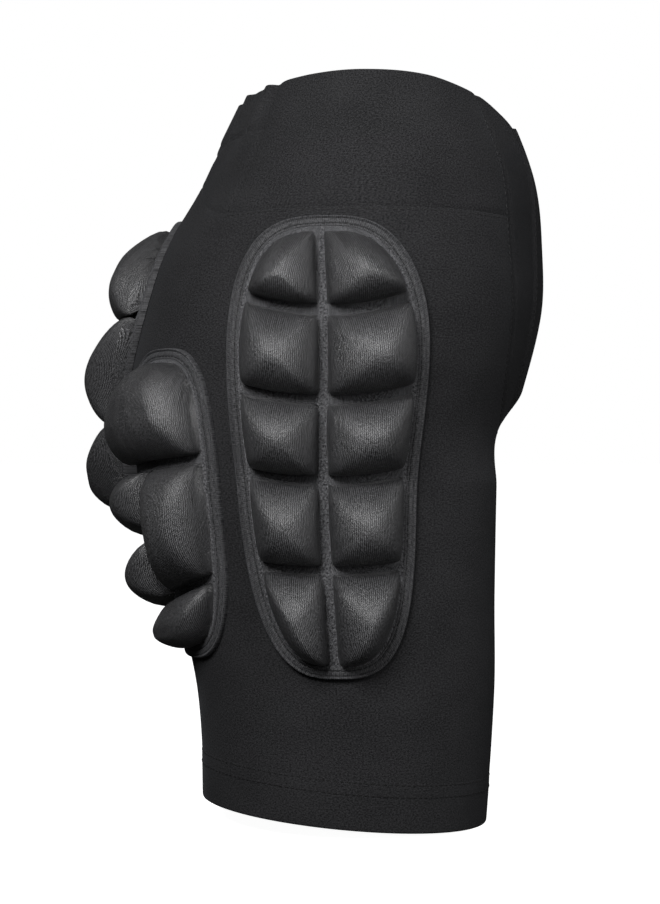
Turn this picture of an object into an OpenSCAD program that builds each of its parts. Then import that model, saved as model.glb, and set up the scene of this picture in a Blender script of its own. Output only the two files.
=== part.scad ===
// Padded impact shorts: stretch shorts with five sewn-on foam pads.
// The wearer faces -Y and the wearer's right side is at -X.
// The origin is the centre of the waist opening.

/* [Shorts] */
// Height of the side of the waist above the hem
side_height = 455; // [435:1:470]
// Half of the widest hip, across the body
hip_half_width = 173; // [160:1:180]
// Half of a thigh's width just below the crotch
thigh_half_width = 80; // [74:1:82]
// Half of a thigh's depth just below the crotch
thigh_half_depth = 111; // [106:1:114]
// Height of the crotch above the hem
crotch_height = 200; // [190:1:205]
// How much higher the hem is at the back than at the front
hem_tilt = 16; // [0:1:24]

/* [Fabric] */
// Thickness of the jersey
jersey_t = 1.2; // [0.8:0.1:1.6]
// Height of the turned-up hem
hem_height = 28; // [20:1:32]
// Width of the waist elastic
elastic_width = 22; // [16:1:28]

/* [Pads] */
// Height of a pillow cell's peak above the backing
cell_height = 27; // [18:1:30]
// Height of the hip pad
hip_pad_height = 260; // [240:1:262]
// Half of the hip pad's width near its top
hip_pad_half_width = 57; // [50:1:58]
// Height of the glute pad
glute_pad_height = 177; // [160:1:182]
// Height of the tailbone pad
tail_pad_height = 186; // [160:1:188]
// Width of the binding tape round each pad
binding_width = 6; // [4:0.5:7]

/* [Hidden] */

jersey = [0.14, 0.14, 0.15];
dark_jersey = [0.11, 0.11, 0.12];
rib_knit = [0.2, 0.2, 0.21];
tape = [0.3, 0.3, 0.31];
foam = [0.45, 0.45, 0.47];

// Centre of the waist opening, measured from the middle of the body and from the hem
waist_centre = [0, -19, 450];
// Gap between neighbouring pieces
gap = 0.4;

// Body profiles: each is a smooth curve through [height, distance] points
torso_width = [[150, hip_half_width - 6], [200, hip_half_width - 5], [275, hip_half_width],
               [350, hip_half_width - 7], [400, hip_half_width - 20], [460, hip_half_width - 37]];
torso_front = [[150, 94], [200, 98], [250, 114], [310, 129], [350, 130], [400, 125], [460, 101]];
torso_rear = [[150, 132], [200, 142], [250, 146], [300, 140], [340, 127], [390, 98], [460, 65]];
leg_centre_x = [[-20, 93], [100, 91], [205, 88]];
leg_centre_y = [[-20, 0], [70, -1], [130, 6], [205, 16]];
leg_width = [[-20, thigh_half_width - 7], [100, thigh_half_width - 4], [205, thigh_half_width]];
leg_depth = [[-20, thigh_half_depth - 24], [70, thigh_half_depth - 19], [130, thigh_half_depth - 12],
             [205, thigh_half_depth]];
// How square the sections are: 1 is an ellipse, less is squarer
torso_square = 0.9;
// The thigh panel runs this far past the front and back of a leg, in degrees
leg_wrap = 70;
// Heights over which the two legs join into the torso, across the body and along it
join_across = 15;
join_along = 62;

// Seam heights
yoke_seam = 366;
back_seam_rise = 32;
thigh_seam = 194;
front_rim_drop = 24;
back_rim_drop = 8;

function mix(a, b, t) = a + (b - a) * t;
function ease(t) = let (c = max(0, min(1, t))) c * c * (3 - 2 * c);
function signed_power(v, p) = sign(v) * pow(abs(v), p);
function span(k, z, i = 0) = i >= len(k) - 2 || z < k[i + 1][0] ? i : span(k, z, i + 1);
function slope(k, i) = let (a = max(0, i - 1), b = min(len(k) - 1, i + 1))
    (k[b][1] - k[a][1]) / (k[b][0] - k[a][0]);
function curve(k, z) = let (
    i = span(k, z),
    h = k[i + 1][0] - k[i][0],
    t = (z - k[i][0]) / h)
    k[i][1] * (1 + 2 * t) * (1 - t) * (1 - t) + slope(k, i) * h * t * (1 - t) * (1 - t)
    + k[i + 1][1] * t * t * (3 - 2 * t) + slope(k, i + 1) * h * t * t * (t - 1);

// The torso's right wall at height z. The angle a is 0 at the centre front, 90 at the side and
// 180 at the centre back.
function torso(a, z) = let (f = curve(torso_front, z), r = curve(torso_rear, z))
    [-curve(torso_width, z) * signed_power(sin(a), torso_square),
     (r - f) / 2 - (r + f) / 2 * signed_power(cos(a), torso_square), z];
function leg(a, z) =
    [-curve(leg_centre_x, z) - curve(leg_width, z) * sin(a),
     curve(leg_centre_y, z) - curve(leg_depth, z) * cos(a), z];
// The right half of the shorts: one leg below the crotch, half the torso above it. The inner
// side of the leg opens out into the centre front and the centre back.
function wall(a, z) = let (
    q = signed_power(sin(a), torso_square),
    b = asin(max(-1, 2 * q - 1)),
    l = leg(a > 90 ? 180 - b : b, min(z, 205)),
    t = torso(a, max(z, 150)))
    [mix(l[0], t[0], ease((z - crotch_height) / join_across)),
     mix(l[1], t[1], ease((z - crotch_height) / join_along)), z];

// s: 0 the shorts, 1 the torso alone, 2 the inner side of the leg
function skin(s, a, z) = s == 0 ? wall(a, z) : s == 1 ? torso(a, z) : leg(a, z);
function outward(s, a, z) = let (
    n = cross(skin(s, a, z + 1) - skin(s, a, z - 1),
              skin(s, a + 0.5, z) - skin(s, a - 0.5, z)))
    n / norm(n);
function off(s, a, z, d) = skin(s, a, z) + outward(s, a, z) * d;
// The same all round the body, where a runs to 360
function around(a, z, d) = a <= 180 ? off(0, a, z, d)
    : let (p = off(0, 360 - a, z, d)) [-p[0], p[1], p[2]];

function rim(a) = side_height - front_rim_drop * (1 - ease(a / 85)) - back_rim_drop * ease((a - 95) / 70);
function hem(y) = hem_tilt / 2 * y / 90;
function back_seam(a) = yoke_seam + back_seam_rise * ease((a - 126) / 44);
// Angle of the seam between the front panel and the side panel
function front_seam(z) = curve([[195, 4], [212, 12], [250, 29], [315, 38], [400, 45], [460, 51]], z);

// Solid between two grids of points of one size, outer over inner. A ring closes on itself.
module slab(outer, inner, ring = false) {
    rows = len(outer);
    cols = len(outer[0]);
    flat = [for (g = [outer, inner]) for (r = g) for (p = r) p];
    half = rows * cols;
    last = ring ? cols - 1 : cols - 2;
    quads = concat(
        [for (i = [0:rows - 2]) for (j = [0:last]) let (k = (j + 1) % cols)
            [i * cols + j, (i + 1) * cols + j, (i + 1) * cols + k, i * cols + k]],
        [for (i = [0:rows - 2]) for (j = [0:last]) let (k = (j + 1) % cols)
            [half + i * cols + j, half + i * cols + k,
             half + (i + 1) * cols + k, half + (i + 1) * cols + j]],
        [for (j = [0:last]) let (k = (j + 1) % cols) [j, k, half + k, half + j]],
        [for (j = [0:last]) let (k = (j + 1) % cols, e = (rows - 1) * cols)
            [e + k, e + j, half + e + j, half + e + k]],
        ring ? [] : [for (i = [0:rows - 2]) let (a = i * cols, b = (i + 1) * cols)
            [b, a, half + a, half + b]],
        ring ? [] : [for (i = [0:rows - 2]) let (a = (i + 1) * cols - 1, b = a + cols)
            [a, b, half + b, half + a]]);
    polyhedron(flat, [for (q = quads) for (t = [[q[2], q[1], q[0]], [q[3], q[2], q[0]]]) t]);
}

module place() translate(-waist_centre) children();
module right() place() children();
module left() place() mirror([1, 0, 0]) children();

// Panels of the shorts

module yoke() {
    rows = 5;
    cols = 12;
    function at(i, j, d) = let (
        f = i / rows,
        z = mix(yoke_seam + gap, rim(mix(front_seam(400), 130, j / cols)), f),
        a = mix(front_seam(z) + 0.3, 130 - 0.3, j / cols))
        off(0, a, z, d);
    color(jersey)
        slab([for (i = [0:rows]) [for (j = [0:cols]) at(i, j, jersey_t)]],
             [for (i = [0:rows]) [for (j = [0:cols]) at(i, j, 0)]]);
}

module back_waist() {
    rows = 5;
    cols = 16;
    function at(i, j, d) = let (a = mix(130, 230, j / cols), b = min(a, 360 - a))
        around(a, mix(back_seam(b) + gap, rim(b), i / rows), d);
    color(dark_jersey)
        slab([for (i = [0:rows]) [for (j = [0:cols]) at(i, j, jersey_t)]],
             [for (i = [0:rows]) [for (j = [0:cols]) at(i, j, 0)]]);
}

module waist_ring(low, high, inner, outer) {
    cols = 56;
    function at(h, j, d) = let (a = 360 * j / cols) around(a, rim(min(a, 360 - a)) - h, d);
    slab([for (h = [low, (low + high) / 2, high]) [for (j = [0:cols - 1]) at(h, j, outer)]],
         [for (h = [low, (low + high) / 2, high]) [for (j = [0:cols - 1]) at(h, j, inner)]],
         ring = true);
}

module front_panel() {
    rows = 18;
    cols = 6;
    low = thigh_seam + gap;
    function at(i, j, d) = let (
        s = j / cols,
        z = mix(low, rim(s * front_seam(400)), i / rows),
        a = mix(0.3, front_seam(z) - 0.3, s))
        off(0, a, z, d);
    color(dark_jersey)
        slab([for (i = [0:rows]) [for (j = [0:cols]) at(i, j, jersey_t)]],
             [for (i = [0:rows]) [for (j = [0:cols]) at(i, j, 0)]]);
}

module side_panel() {
    rows = 12;
    cols = 22;
    function at(i, j, d) = let (
        z = mix(thigh_seam + gap, back_seam(mix(40, 180, j / cols)), i / rows),
        a = mix(front_seam(z), 179.7, j / cols))
        off(0, a, z, d);
    color(jersey)
        slab([for (i = [0:rows]) [for (j = [0:cols]) at(i, j, jersey_t)]],
             [for (i = [0:rows]) [for (j = [0:cols]) at(i, j, 0)]]);
}

module thigh_panel() {
    rows = 5;
    cols = 20;
    function at(i, j, d) = let (
        a = mix(-leg_wrap, 180 + leg_wrap, j / cols),
        low = hem(leg(a, 0)[1]) + hem_height + gap)
        off(2, a, mix(low, thigh_seam, i / rows), d);
    color(jersey)
        slab([for (i = [0:rows]) [for (j = [0:cols]) at(i, j, jersey_t)]],
             [for (i = [0:rows]) [for (j = [0:cols]) at(i, j, 0)]]);
}

module inner_leg_panel() {
    rows = 5;
    cols = 6;
    inset = 0.4;
    function at(i, j, d) = let (
        a = mix(180 + leg_wrap + inset, 360 - leg_wrap - inset, j / cols),
        low = hem(leg(a, 0)[1]) + hem_height + gap)
        off(2, a, mix(low, thigh_seam, i / rows), d);
    color(jersey)
        slab([for (i = [0:rows]) [for (j = [0:cols]) at(i, j, jersey_t)]],
             [for (i = [0:rows]) [for (j = [0:cols]) at(i, j, 0)]]);
}

module hem_band() {
    cols = 40;
    function at(h, j, d) = let (a = 360 * j / cols, y = leg(a, 0)[1]) off(2, a, hem(y) + h, d);
    color(jersey)
        slab([for (h = [0, hem_height / 2, hem_height]) [for (j = [0:cols - 1]) at(h, j, jersey_t)]],
             [for (h = [0, hem_height / 2, hem_height]) [for (j = [0:cols - 1]) at(h, j, -jersey_t)]],
             ring = true);
}

// The strip between the legs: a saddle that rises to the front and the back, and narrows as the
// panels on its two sides come together
module gusset() {
    steps = 14;
    middle_y = 6;
    rise = 13;
    clearance = 2.2;
    function at(i, s, d) = let (
        t = 2 * i / steps - 1,
        z = thigh_seam + 3 + rise * t * t,
        edge = wall(t < 0 ? 0.1 : 179.9, z))
        [s * max(0.8, -edge[0] - clearance), mix(middle_y, edge[1], ease(abs(t) / 0.6)), z + d];
    color(dark_jersey)
        slab([for (i = [0:steps]) [for (s = [1, 0, -1]) at(i, s, jersey_t)]],
             [for (i = [0:steps]) [for (s = [1, 0, -1]) at(i, s, 0)]]);
}

// Pads. A pad lies on a surface of the body and stands off it along one direction, which fans
// out towards its edges.
// pad = [surface, direction across, lowest z, height, centre line, half width, cells, fan angle, rows]
// A centre line and a half width are curves along the height fraction f. A cell is
// [low s, high s, low f, high f], where s runs across the pad from -1 to 1.
hip_rows = [0, 0.234, 0.446, 0.636, 0.844, 1];
hip_pad = [0, [0, 1], 94, hip_pad_height,
    [[0, 4.5], [0.4, 11], [0.8, 10.5], [1, 13]],
    [[0, hip_pad_half_width - 13], [0.4, hip_pad_half_width - 11], [0.6, hip_pad_half_width - 5.5],
     [0.8, hip_pad_half_width - 1], [1, hip_pad_half_width]],
    [for (r = [0:4]) for (c = [-1, 0]) [c, c + 1, hip_rows[r], hip_rows[r + 1]]], 14, hip_rows];
glute_pad = [0, [0.77, 0.64], 101, glute_pad_height,
    [[0, -29], [0.5, -26], [1, -28]],
    [[0, 41], [0.5, 41], [1, 39]],
    [[-1, 1, 0.66, 1], [-1, 0, 0.26, 0.66], [0, 1, 0.47, 0.66], [0, 1, 0.26, 0.47], [-1, 1, 0, 0.26]],
    20, [0, 0.26, 0.47, 0.66, 1]];
tail_rows = [0, 0.3, 0.67, 1];
tail_pad = [1, [1, 0], 184, tail_pad_height,
    [[0, 0], [1, 0]],
    [[0, 50], [0.3, 56], [0.72, 64], [1, 54]],
    [for (r = [0:2]) for (c = [-1, 0]) [c, c + 1, tail_rows[r], tail_rows[r + 1]]], 16, tail_rows];
pad_roundness = 3;

function across(pad, p) = p[0] * pad[1][0] + p[1] * pad[1][1];
// The surface angle at height z whose point lies the distance q across the pad
function solve(pad, z, q, lo, hi, n = 14) = let (m = (lo + hi) / 2)
    n == 0 ? m
    : across(pad, skin(pad[0], m, z)) < q ? solve(pad, z, q, m, hi, n - 1)
    : solve(pad, z, q, lo, m, n - 1);
// Point of a pad at q across, height z and distance d off the body
function pad_point(pad, q, z, d) = let (
    a = solve(pad, z, q, pad[0] == 1 ? 90 : pad[1][0] == 0 ? 10 : 92, pad[0] == 1 ? 270 : 179),
    f = (z - pad[2]) / pad[3],
    tilt = pad[7] * (q - curve(pad[4], f)) / curve(pad[5], 0.5),
    t = pad[1])
    skin(pad[0], a, z) + d * [sin(tilt) * t[0] - cos(tilt) * t[1], sin(tilt) * t[1] + cos(tilt) * t[0], 0];
// The pad's round-ended outline, from -1 to 1 along its height
function end_round(v) = pow(max(0, 1 - pow(abs(v), pad_roundness)), 1 / pad_roundness);
function pad_at(pad, s, f, d) = let (
    half = curve(pad[5], f) * end_round(2 * f - 1))
    pad_point(pad, curve(pad[4], f) + s * half, pad[2] + f * pad[3], d);

// Height of the pillow cells: a rounded pyramid in each cell
function pillow(u, v) = let (m = pow(pow(abs(u), 6) + pow(abs(v), 6), 1 / 6))
    m >= 1 ? 0 : 1 - pow(m, 1.8);
function cell_u(c, s) = (2 * s - c[0] - c[1]) / (c[1] - c[0]);
function cell_v(c, f) = (2 * f - c[2] - c[3]) / (c[3] - c[2]);
function puff(pad, s, f) = max([for (c = pad[6]) pillow(cell_u(c, s), cell_v(c, f))]);

// Distances off the body: backing, then the foam, then the cover
backing_low = jersey_t + 1.8;
backing_high = backing_low + 1.2;
foam_low = backing_high + 3 * gap;
cover_low = backing_high + gap;
cover_t = 1.1;

// Height fractions of a pad's rows of points: 4 or more steps between its channels
function steps_of(a, b) = max(4, round(20 * (b - a)));
function rows_of(pad) = let (r = pad[8]) concat([0.006],
    [for (i = [0:len(r) - 2]) let (n = steps_of(r[i], r[i + 1])) for (k = [1:n])
        min(0.994, mix(r[i], r[i + 1], k / n))]);

module pad_backing(pad) {
    rows = rows_of(pad);
    cols = [-1:0.25:1];
    color(dark_jersey)
        slab([for (f = rows) [for (s = cols) pad_at(pad, s, f, backing_high)]],
             [for (f = rows) [for (s = cols) pad_at(pad, s, f, backing_low)]]);
}

module pad_cover(pad) {
    rows = rows_of(pad);
    cols = [-1:0.25:1];
    function low(s, f) = cover_low + puff(pad, s, f) * cell_height;
    color(rib_knit)
        slab([for (f = rows) [for (s = cols) pad_at(pad, s, f, low(s, f) + cover_t)]],
             [for (f = rows) [for (s = cols) pad_at(pad, s, f, low(s, f))]]);
}

module pad_foam(pad) {
    // How much of its cell a block fills, across and in height
    fill = 0.6;
    height = 0.7;
    edge_height = 0.6;
    steps = [-1:0.5:1];
    function at(c, u, v, top) = let (
        s = (c[0] + c[1]) / 2 + u * fill * (c[1] - c[0]) / 2,
        f = (c[2] + c[3]) / 2 + v * fill * (c[3] - c[2]) / 2,
        high = foam_low + max(edge_height, pillow(u * fill, v * fill) * cell_height * height - 2))
        pad_at(pad, s, f, top ? high : foam_low);
    color(foam)
        for (c = pad[6])
            slab([for (v = steps) [for (u = steps) at(c, u, v, true)]],
                 [for (v = steps) [for (u = steps) at(c, u, v, false)]]);
}

module pad_binding(pad) {
    sides = 44;
    // Points round the outline, moved out by w
    function at(j, w, d) = let (
        t = 360 * j / sides,
        y = signed_power(sin(t), 2 / pad_roundness),
        x = signed_power(cos(t), 2 / pad_roundness),
        f = (1 + y) / 2,
        half = curve(pad[5], f) + w)
        pad_point(pad, curve(pad[4], f) + x * half,
                  pad[2] + pad[3] / 2 + y * (pad[3] / 2 + w), d);
    low = backing_low;
    high = cover_low + cover_t + 1.2;
    // The rows run round the tape's section, and the columns run round the pad
    inside = 2 * gap;
    ring = [[inside, low], [inside, high], [binding_width, high], [binding_width, low]];
    color(tape)
        slab([for (r = [ring[2], ring[1]]) [for (j = [0:sides - 1]) at(j, r[0], r[1])]],
             [for (r = [ring[3], ring[0]]) [for (j = [0:sides - 1]) at(j, r[0], r[1])]],
             ring = true);
}

place() back_waist();  // back_waist_panel
place() color(tape) waist_ring(3 + elastic_width, 3, -1.7, -gap);  // waist_elastic
place() color(dark_jersey) waist_ring(5 + elastic_width, 1, -3.2, -2.1);  // waist_facing
right() yoke();  // right_yoke
left() yoke();  // left_yoke
right() front_panel();  // right_front_panel
left() front_panel();  // left_front_panel
right() side_panel();  // right_side_panel
left() side_panel();  // left_side_panel
place() gusset();  // crotch_gusset
place() pad_backing(tail_pad);  // tailbone_pad_backing
place() pad_foam(tail_pad);  // tailbone_pad_foam
place() pad_cover(tail_pad);  // tailbone_pad_cover
place() pad_binding(tail_pad);  // tailbone_pad_binding
right() thigh_panel();  // right_thigh_panel
left() thigh_panel();  // left_thigh_panel
right() inner_leg_panel();  // right_inner_leg_panel
left() inner_leg_panel();  // left_inner_leg_panel
right() hem_band();  // right_hem
left() hem_band();  // left_hem
right() pad_backing(hip_pad);  // right_hip_pad_backing
left() pad_backing(hip_pad);  // left_hip_pad_backing
right() pad_foam(hip_pad);  // right_hip_pad_foam
left() pad_foam(hip_pad);  // left_hip_pad_foam
right() pad_cover(hip_pad);  // right_hip_pad_cover
left() pad_cover(hip_pad);  // left_hip_pad_cover
right() pad_binding(hip_pad);  // right_hip_pad_binding
left() pad_binding(hip_pad);  // left_hip_pad_binding
right() pad_backing(glute_pad);  // right_glute_pad_backing
left() pad_backing(glute_pad);  // left_glute_pad_backing
right() pad_foam(glute_pad);  // right_glute_pad_foam
left() pad_foam(glute_pad);  // left_glute_pad_foam
right() pad_cover(glute_pad);  // right_glute_pad_cover
left() pad_cover(glute_pad);  // left_glute_pad_cover
right() pad_binding(glute_pad);  // right_glute_pad_binding
left() pad_binding(glute_pad);  // left_glute_pad_binding
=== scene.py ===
# Padded impact shorts. The wearer faces -Y and the wearer's right side is at -X.
# Shapes are worked out in millimetres with the hem at z = 0, then placed in the row frame.
import math

import bpy
import numpy as np
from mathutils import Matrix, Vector


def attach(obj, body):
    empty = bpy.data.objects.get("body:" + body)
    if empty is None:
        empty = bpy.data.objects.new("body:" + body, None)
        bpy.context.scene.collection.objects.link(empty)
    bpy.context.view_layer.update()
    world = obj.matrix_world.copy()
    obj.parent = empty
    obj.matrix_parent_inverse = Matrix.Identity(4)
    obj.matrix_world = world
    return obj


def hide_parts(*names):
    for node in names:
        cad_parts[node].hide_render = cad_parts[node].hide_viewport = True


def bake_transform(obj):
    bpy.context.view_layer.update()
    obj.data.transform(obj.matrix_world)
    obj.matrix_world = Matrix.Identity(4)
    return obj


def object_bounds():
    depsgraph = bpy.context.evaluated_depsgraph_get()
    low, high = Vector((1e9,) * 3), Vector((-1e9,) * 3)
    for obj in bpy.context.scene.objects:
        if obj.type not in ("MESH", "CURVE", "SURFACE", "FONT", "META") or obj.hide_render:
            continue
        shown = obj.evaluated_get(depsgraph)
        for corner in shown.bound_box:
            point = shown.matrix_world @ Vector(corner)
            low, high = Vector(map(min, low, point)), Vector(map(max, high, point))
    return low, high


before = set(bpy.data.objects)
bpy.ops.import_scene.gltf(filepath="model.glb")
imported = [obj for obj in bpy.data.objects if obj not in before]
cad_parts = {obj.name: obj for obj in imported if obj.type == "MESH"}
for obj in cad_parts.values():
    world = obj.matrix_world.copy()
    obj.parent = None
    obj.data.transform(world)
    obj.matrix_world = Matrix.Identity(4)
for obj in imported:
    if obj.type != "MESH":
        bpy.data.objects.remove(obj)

CAD_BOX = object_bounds()
WAIST_CENTRE = np.array([0.0, -19.0, 450.0])  # the row frame's origin
MM = 0.001

# ---------------------------------------------------------------- the body's shape


class Curve:
    """A smooth curve through (x, y) points."""

    def __init__(self, *points):
        self.x, self.y = np.array(points, float).T
        last = len(points) - 1
        lower = np.maximum(np.arange(last + 1) - 1, 0)
        upper = np.minimum(np.arange(last + 1) + 1, last)
        self.m = (self.y[upper] - self.y[lower]) / (self.x[upper] - self.x[lower])

    def __call__(self, x):
        x = np.asarray(x, float)
        i = np.clip(np.searchsorted(self.x, x, "right") - 1, 0, len(self.x) - 2)
        h = self.x[i + 1] - self.x[i]
        t = (x - self.x[i]) / h
        return (
            self.y[i] * (1 + 2 * t) * (1 - t) ** 2
            + self.m[i] * h * t * (1 - t) ** 2
            + self.y[i + 1] * t * t * (3 - 2 * t)
            + self.m[i + 1] * h * t * t * (t - 1)
        )


def mix(a, b, t):
    return a + (b - a) * t


def ease(t):
    t = np.clip(t, 0, 1)
    return t * t * (3 - 2 * t)


CROTCH = 200.0
THIGH_SEAM = 195.0  # where the inner leg panels end and the front seam starts
LEG_FADE = 14.0  # the leg's shape stops changing within about this height above the thigh seam
SIDE_BLEND = 15.0  # the legs meet at the centre line within this height above the crotch
DEPTH_BLEND = 62.0  # and take the torso's depth within this one
TORSO_START = 150.0
TORSO_WIDTH = Curve((150, 167), (200, 168), (275, 173), (350, 166), (400, 153), (460, 136))
TORSO_FRONT = Curve((150, 94), (200, 98), (250, 114), (310, 129), (350, 130), (400, 125), (460, 101))
TORSO_REAR = Curve((150, 132), (200, 142), (250, 146), (300, 140), (340, 127), (390, 98), (460, 65))
LEG_X = Curve((-20, 93), (100, 91), (205, 88))
LEG_Y = Curve((-20, 0), (70, -1), (130, 6), (205, 16))
LEG_WIDTH = Curve((-20, 73), (100, 76), (205, 80))
LEG_DEPTH = Curve((-20, 87), (70, 92), (130, 99), (205, 111))
SQUARE = 0.9


def torso(q, front, z):
    """A point of the torso's right half: q is 0 at the centre and 1 at the side."""
    f, r = TORSO_FRONT(z), TORSO_REAR(z)
    depth = np.maximum(1 - q ** (2 / SQUARE), 0) ** (SQUARE / 2)
    return -TORSO_WIDTH(z) * q, (r - f) / 2 - (r + f) / 2 * np.where(front, depth, -depth)


def wall(b, z):
    """The right half of the shorts. b runs from 0 at the centre front, by 0.5 at the side, to 1 at
    the centre back; below the crotch both ends meet on the inner side of the leg."""
    b, z = np.broadcast_arrays(np.asarray(b, float), np.asarray(z, float))
    q = (1 - np.cos(2 * np.pi * b)) / 2
    over = np.maximum(z - THIGH_SEAM, 0)
    low = np.minimum(z, THIGH_SEAM) + LEG_FADE * (1 - np.exp(-over / LEG_FADE))
    leg_x = -LEG_X(low) - LEG_WIDTH(low) * (2 * q - 1)
    leg_y = LEG_Y(low) - LEG_DEPTH(low) * np.sin(2 * np.pi * b)
    x, y = torso(q, b < 0.5, np.maximum(z, TORSO_START))
    x = mix(leg_x, x, ease((z - CROTCH) / SIDE_BLEND))
    y = mix(leg_y, y, ease((z - CROTCH) / DEPTH_BLEND))
    return np.stack([x, y, z], -1)


def rear(b, z):
    """The torso's back without the hollow between the legs. b is 0 on the right, 1 on the left."""
    b, z = np.broadcast_arrays(np.asarray(b, float), np.asarray(z, float))
    a = math.pi * b
    f, r = TORSO_FRONT(z), TORSO_REAR(z)
    x = -TORSO_WIDTH(z) * np.sign(np.cos(a)) * np.abs(np.cos(a)) ** SQUARE
    return np.stack([x, (r - f) / 2 + (r + f) / 2 * np.abs(np.sin(a)) ** SQUARE, z], -1)


def outward(surface, b, z):
    """The direction straight off a surface."""
    up = surface(b, z + 0.5) - surface(b, z - 0.5)
    along = surface(b + 0.002, z) - surface(b - 0.002, z)
    n = np.cross(up, along)
    return n / np.maximum(np.linalg.norm(n, axis=-1, keepdims=True), 1e-9)


# Height of the waist's rim, by the angle from the centre front (0 degrees) to the centre back (180)
RIM = Curve(
    (0, 424), (10, 424.2), (35, 427.5), (50, 433), (60, 440.5), (68, 445),
    (78, 449.5), (92, 451.5), (105, 450.5), (118, 448.5), (140, 447), (180, 444),
)


def rim(b):
    return RIM(180 * np.asarray(b))


def side_b(a):
    """b of the torso point at angle a degrees from the centre front."""
    q = np.sin(np.radians(a)) ** SQUARE
    b = np.arccos(1 - 2 * q) / (2 * np.pi)
    return np.where(np.asarray(a) > 90, 1 - b, b)


# Angles from the centre front, by height
FRONT_SEAM = Curve((195, 4), (212, 12), (250, 29), (315, 38), (400, 45), (460, 51))
POUCH_EDGE = Curve((240, 20), (300, 25), (350, 26), (400, 25), (460, 21))
YOKE_SEAM = 366.0  # height of the seam between the side panel and the yoke
YOKE_BACK = 130  # angle of the yoke's rear seam
BACK_RISE = 32  # how far the seam climbs from the yoke to the centre back
RISE_START, RISE_END = 126.0, 172.0  # angles between which it climbs
HEM_TILT = 8 / 90  # how much the hem rises towards the back


def front_seam(z):
    return side_b(np.clip(FRONT_SEAM(np.maximum(z, THIGH_SEAM)), 0, 90))


def back_seam(b):
    climb = (b - side_b(RISE_START)) / (side_b(RISE_END) - side_b(RISE_START))
    return YOKE_SEAM + BACK_RISE * ease(climb)


def hem_line(b):
    return HEM_TILT * wall(b, 0.0)[..., 1]


# ---------------------------------------------------------------- the cloth's folds

CASING = 36  # the deep pleats start this far below the rim
CASING_SEAM = 28  # the seam under the elastic
GIRTH = 860.0  # round the hips, at the shorts' own unstretched lines
GROOVE = 0.9  # depth of the seams


def gathers(b, z):
    """Pleats that the waist elastic pulls into the back of the waist: deep in the casing, and
    soft below it."""
    x = wall(b, z)[..., 0]
    casing = ease((z - (rim(b) - CASING)) / 14)
    phase = x / 4.4 + 0.9 * np.sin(z / 19) + 1.1 * np.sin(x / 17)
    deep = 1.3 * np.sin(phase) + 0.7 * np.sin(1.63 * phase + z / 21 + 1)
    soft = 0.7 * np.sin(x / 6.3 + 1.2 * np.sin(z / 23)) * ease((z - 372) / 40)
    crease = -1.2 * np.exp(-(((z - rim(b) + CASING_SEAM) / 1.6) ** 2))
    return ease((b - 0.6) / 0.09) * (mix(soft, deep, casing) + crease)


def groove(distance, width):
    """1 on a seam's line, falling to 0 within about twice its width."""
    return np.exp(-((distance / width) ** 2))


def drape(b, z):
    """How far the cloth stands off the body's shape, in millimetres."""
    slow = 0.5 * np.sin(13.0 * b + z / 41.0) * np.sin(z / 67.0 + 4 * b)
    hem_wave = 0.8 * np.sin(2 * np.pi * 3 * b + 0.7) * ease((40 - z) / 60)
    crotch = 1.1 * np.sin(z / 4.1 + 17 * b) * ease((262 - z) / 40) * ease((z - 150) / 50)
    crotch = crotch * (1 - ease((b - 0.02) / 0.2)) * ease(b / 0.02)
    half = GIRTH / 2
    rear_seam = groove(half * (b - side_b(YOKE_BACK)), 2.4) * ease((z - YOKE_SEAM) / 4)
    yoke_line = groove(z - back_seam(b), 1.8) * ease((b - front_seam(z)) / 0.01)
    front_line = groove(half * (b - front_seam(z)), 2.0) * ease((z - 205) / 10)
    seams = GROOVE * np.maximum(rear_seam, np.maximum(yoke_line, front_line))
    return slow + hem_wave + crotch + gathers(b, z) - seams


def cloth_point(b, z, d):
    """A point of the cloth, d off its inner face."""
    off = drape(b, z) + d
    return wall(b, z) + outward(wall, np.clip(b, 0.003, 0.997), z) * off[..., None]


# ---------------------------------------------------------------- mesh building

CREASE = math.radians(55)  # sharper edges are shaded as edges


def to_row(points):
    return (np.asarray(points) - WAIST_CENTRE) * MM


def new_piece(name, points, faces, uv=None, mirrored=False, material=None, creased=True):
    """A mesh object from points in millimetres. uv has one pair for each point."""
    points = np.asarray(points, float).reshape(-1, 3)
    faces = [list(f) for f in faces]
    if mirrored:
        points = points * [-1, 1, 1]
        faces = [f[::-1] for f in faces]
    mesh = bpy.data.meshes.new(name)
    mesh.from_pydata(to_row(points).tolist(), [], faces)
    if uv is not None:
        layer = mesh.uv_layers.new(name="cloth")
        corner = np.zeros(len(mesh.loops), np.int32)
        mesh.loops.foreach_get("vertex_index", corner)
        layer.data.foreach_set("uv", (np.asarray(uv).reshape(-1, 2)[corner] * MM).ravel())
    mesh.polygons.foreach_set("use_smooth", np.ones(len(mesh.polygons), bool))
    mesh.validate()
    mesh.update()
    if creased:
        mesh.set_sharp_from_angle(angle=CREASE)
    obj = bpy.data.objects.new(name, mesh)
    bpy.context.scene.collection.objects.link(obj)
    if material:
        mesh.materials.append(material)
    return obj


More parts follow.
